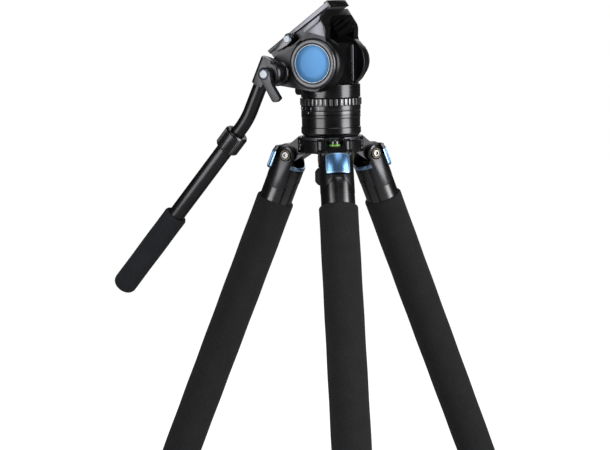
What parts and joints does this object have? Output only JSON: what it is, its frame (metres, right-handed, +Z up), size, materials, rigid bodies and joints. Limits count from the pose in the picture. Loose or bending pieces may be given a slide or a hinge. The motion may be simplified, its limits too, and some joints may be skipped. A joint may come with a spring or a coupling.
{
  "type": "tripod with fluid head",
  "caption": "Folding photo and video tripod with twist-lock telescopic legs, foam sleeves and a fluid head with a quick-release plate and a bent pan bar.",
  "frame": {"origin": "middle of the bounding box, on the floor under the feet", "axes": "+Z up, the front leg towards -Y; the head looks 31 degrees to the right of +X, turned towards -Y"},
  "size_m": [0.5154, 0.4504, 0.718],
  "materials": {
    "black_metal": "satin black anodised",
    "grey_metal": "satin dark grey anodised",
    "foam": "matt closed-cell foam",
    "grip_foam": "matt foam rubber",
    "blue_metal": "gloss blue anodised",
    "sky_metal": "satin sky blue anodised",
    "steel": "plain steel",
    "rubber": "matt rubber",
    "vial": "clear vial with green fluid"
  },
  "bodies": {
    "spider": {"spider": "black_metal", "platform_plate": "grey_metal", "level_cup": "black_metal", "level_vial": "vial", "head_base": "black_metal", "pan_axle": "steel"},
    "platform_knob": {"platform_knob": "black_metal", "weight_hook": "steel"},
    "pan_drag_ring": {"pan_drag_ring": "black_metal"},
    "pan": {"pan_body": "black_metal"},
    "pan_lock_knob": {"pan_lock_knob": "black_metal"},
    "tilt": {"tilt_frame": "black_metal", "side_ring": "grey_metal", "side_disc": "sky_metal", "tilt_axle": "steel", "rosette_near": "black_metal", "rosette_far": "black_metal"},
    "tilt_drag_knob": {"tilt_drag_knob": "black_metal"},
    "camera_plate": {"camera_plate": "grey_metal", "plate_pad_front": "rubber", "plate_pad_rear": "rubber"},
    "camera_screw": {"camera_screw": "steel"},
    "plate_lever": {"plate_lever": "black_metal"},
    "safety_button": {"safety_button": "black_metal"},
    "pan_bar": {"bar_clamp": "black_metal", "pan_bar_inner": "black_metal"},
    "bar_clamp_lever": {"bar_clamp_lever": "black_metal"},
    "bar_extension": {"pan_bar_outer": "black_metal", "bar_grip": "grip_foam"},
    "bar_collar": {"bar_collar": "black_metal"},
    "front_leg": {"front_yoke": "black_metal", "front_hinge_pin": "steel", "front_tube_upper": "black_metal", "front_foam": "foam"},
    "front_tab": {"front_angle_tab": "blue_metal"},
    "front_lock_upper": {"front_lock_upper": "black_metal"},
    "front_middle": {"front_tube_middle": "black_metal"},
    "front_lock_lower": {"front_lock_lower": "black_metal"},
    "front_lower": {"front_tube_lower": "black_metal", "front_foot": "rubber"},
    "right_leg": {"right_yoke": "black_metal", "right_hinge_pin": "steel", "right_tube_upper": "black_metal", "right_foam": "foam"},
    "right_tab": {"right_angle_tab": "blue_metal"},
    "right_lock_upper": {"right_lock_upper": "black_metal"},
    "right_middle": {"right_tube_middle": "black_metal"},
    "right_lock_lower": {"right_lock_lower": "black_metal"},
    "right_lower": {"right_tube_lower": "black_metal", "right_foot": "rubber"},
    "left_leg": {"left_yoke": "black_metal", "left_hinge_pin": "steel", "left_tube_upper": "black_metal", "left_foam": "foam"},
    "left_tab": {"left_angle_tab": "blue_metal"},
    "left_lock_upper": {"left_lock_upper": "black_metal"},
    "left_middle": {"left_tube_middle": "black_metal"},
    "left_lock_lower": {"left_lock_lower": "black_metal"},
    "left_lower": {"left_tube_lower": "black_metal", "left_foot": "rubber"}
  },
  "joints": [
    {"name": "front_leg_splay", "type": "hinge", "parent": "spider", "child": "front_leg", "pos_m": [0, 0.02708, 0.56761], "axis": [-1, 0, 0], "range_deg": [-23.2, 51.8]},
    {"name": "front_tab_pull", "type": "slide", "parent": "front_leg", "child": "front_tab", "axis": [0, -0.9191, 0.3939], "range_m": [0, 0.006], "stiffness_N_per_m": 400},
    {"name": "front_lock_upper_twist", "type": "hinge", "parent": "front_leg", "child": "front_lock_upper", "pos_m": [0, 0.02708, 0.56761], "axis": [0, -0.3939, -0.9191], "range_deg": [0, 90]},
    {"name": "front_middle_slide", "type": "slide", "parent": "front_leg", "child": "front_middle", "axis": [0, -0.3939, -0.9191], "range_m": [0, 0.4]},
    {"name": "front_lock_lower_twist", "type": "hinge", "parent": "front_middle", "child": "front_lock_lower", "pos_m": [0, 0.02708, 0.56761], "axis": [0, -0.3939, -0.9191], "range_deg": [0, 90]},
    {"name": "front_lower_slide", "type": "slide", "parent": "front_middle", "child": "front_lower", "axis": [0, -0.3939, -0.9191], "range_m": [0, 0.41]},
    {"name": "right_leg_splay", "type": "hinge", "parent": "spider", "child": "right_leg", "pos_m": [0.03741, 0.09188, 0.56761], "axis": [0.5, -0.866, 0], "range_deg": [-23.2, 51.8]},
    {"name": "right_tab_pull", "type": "slide", "parent": "right_leg", "child": "right_tab", "axis": [0.796, 0.4596, 0.3939], "range_m": [0, 0.006], "stiffness_N_per_m": 400},
    {"name": "right_lock_upper_twist", "type": "hinge", "parent": "right_leg", "child": "right_lock_upper", "pos_m": [0.03741, 0.09188, 0.56761], "axis": [0.3412, 0.197, -0.9191], "range_deg": [0, 90]},
    {"name": "right_middle_slide", "type": "slide", "parent": "right_leg", "child": "right_middle", "axis": [0.3412, 0.197, -0.9191], "range_m": [0, 0.4]},
    {"name": "right_lock_lower_twist", "type": "hinge", "parent": "right_middle", "child": "right_lock_lower", "pos_m": [0.03741, 0.09188, 0.56761], "axis": [0.3412, 0.197, -0.9191], "range_deg": [0, 90]},
    {"name": "right_lower_slide", "type": "slide", "parent": "right_middle", "child": "right_lower", "axis": [0.3412, 0.197, -0.9191], "range_m": [0, 0.41]},
    {"name": "left_leg_splay", "type": "hinge", "parent": "spider", "child": "left_leg", "pos_m": [-0.03741, 0.09188, 0.56761], "axis": [0.5, 0.866, 0], "range_deg": [-23.2, 51.8]},
    {"name": "left_tab_pull", "type": "slide", "parent": "left_leg", "child": "left_tab", "axis": [-0.796, 0.4596, 0.3939], "range_m": [0, 0.006], "stiffness_N_per_m": 400},
    {"name": "left_lock_upper_twist", "type": "hinge", "parent": "left_leg", "child": "left_lock_upper", "pos_m": [-0.03741, 0.09188, 0.56761], "axis": [-0.3412, 0.197, -0.9191], "range_deg": [0, 90]},
    {"name": "left_middle_slide", "type": "slide", "parent": "left_leg", "child": "left_middle", "axis": [-0.3412, 0.197, -0.9191], "range_m": [0, 0.4]},
    {"name": "left_lock_lower_twist", "type": "hinge", "parent": "left_middle", "child": "left_lock_lower", "pos_m": [-0.03741, 0.09188, 0.56761], "axis": [-0.3412, 0.197, -0.9191], "range_deg": [0, 90]},
    {"name": "left_lower_slide", "type": "slide", "parent": "left_middle", "child": "left_lower", "axis": [-0.3412, 0.197, -0.9191], "range_m": [0, 0.41]},
    {"name": "platform_knob_turn", "type": "hinge", "parent": "spider", "child": "platform_knob", "pos_m": [0, 0.07028, 0.56761], "axis": [0, 0, 1], "range_deg": [0, 270]},
    {"name": "pan_drag_turn", "type": "hinge", "parent": "spider", "child": "pan_drag_ring", "pos_m": [0, 0.07028, 0.56761], "axis": [0, 0, 1], "range_deg": [-25, 75]},
    {"name": "head_pan", "type": "hinge", "parent": "spider", "child": "pan", "pos_m": [0, 0.07028, 0.56761], "axis": [0, 0, 1], "continuous": true},
    {"name": "pan_lock_turn", "type": "hinge", "parent": "pan", "child": "pan_lock_knob", "pos_m": [0, 0.07028, 0.63181], "axis": [-0.8549, 0.5188, 0], "range_deg": [0, 180]},
    {"name": "head_tilt", "type": "hinge", "parent": "pan", "child": "tilt", "pos_m": [0, 0.07028, 0.65991], "axis": [-0.5188, -0.8549, 0], "range_deg": [-109.5, 38]},
    {"name": "tilt_drag_turn", "type": "hinge", "parent": "tilt", "child": "tilt_drag_knob", "pos_m": [0, 0.07028, 0.65991], "axis": [0.5188, 0.8549, 0], "range_deg": [0, 270]},
    {"name": "plate_slide", "type": "slide", "parent": "tilt", "child": "camera_plate", "axis": [0.7046, -0.4275, 0.5664], "range_m": [-0.025, 0.025]},
    {"name": "camera_screw_turn", "type": "hinge", "parent": "camera_plate", "child": "camera_screw", "pos_m": [-0.00564, 0.0737, 0.65538], "axis": [-0.4842, 0.2938, 0.8241], "range_deg": [0, 270]},
    {"name": "plate_lever_turn", "type": "hinge", "parent": "tilt", "child": "plate_lever", "pos_m": [-0.02493, 0.0854, 0.68379], "axis": [0.5188, 0.8549, 0], "range_deg": [0, 80]},
    {"name": "safety_button_press", "type": "slide", "parent": "tilt", "child": "safety_button", "axis": [-0.5188, -0.8549, 0], "range_m": [0, 0.002], "stiffness_N_per_m": 300},
    {"name": "pan_bar_swing", "type": "hinge", "parent": "tilt", "child": "pan_bar", "pos_m": [-0.03309, 0.09036, 0.6509], "axis": [-0.5188, -0.8549, 0], "range_deg": [-60, 45]},
    {"name": "bar_lever_turn", "type": "hinge", "parent": "pan_bar", "child": "bar_clamp_lever", "pos_m": [-0.03309, 0.09036, 0.6509], "axis": [-0.5188, -0.8549, 0], "range_deg": [-90, 30]},
    {"name": "bar_extend", "type": "slide", "parent": "pan_bar", "child": "bar_extension", "axis": [-0.5564, 0.3376, -0.7593], "range_m": [0, 0.1]},
    {"name": "bar_collar_twist", "type": "hinge", "parent": "bar_extension", "child": "bar_collar", "pos_m": [-0.08379, 0.06076, 0.60511], "axis": [-0.5564, 0.3376, -0.7593], "range_deg": [0, 120]}
  ]
}
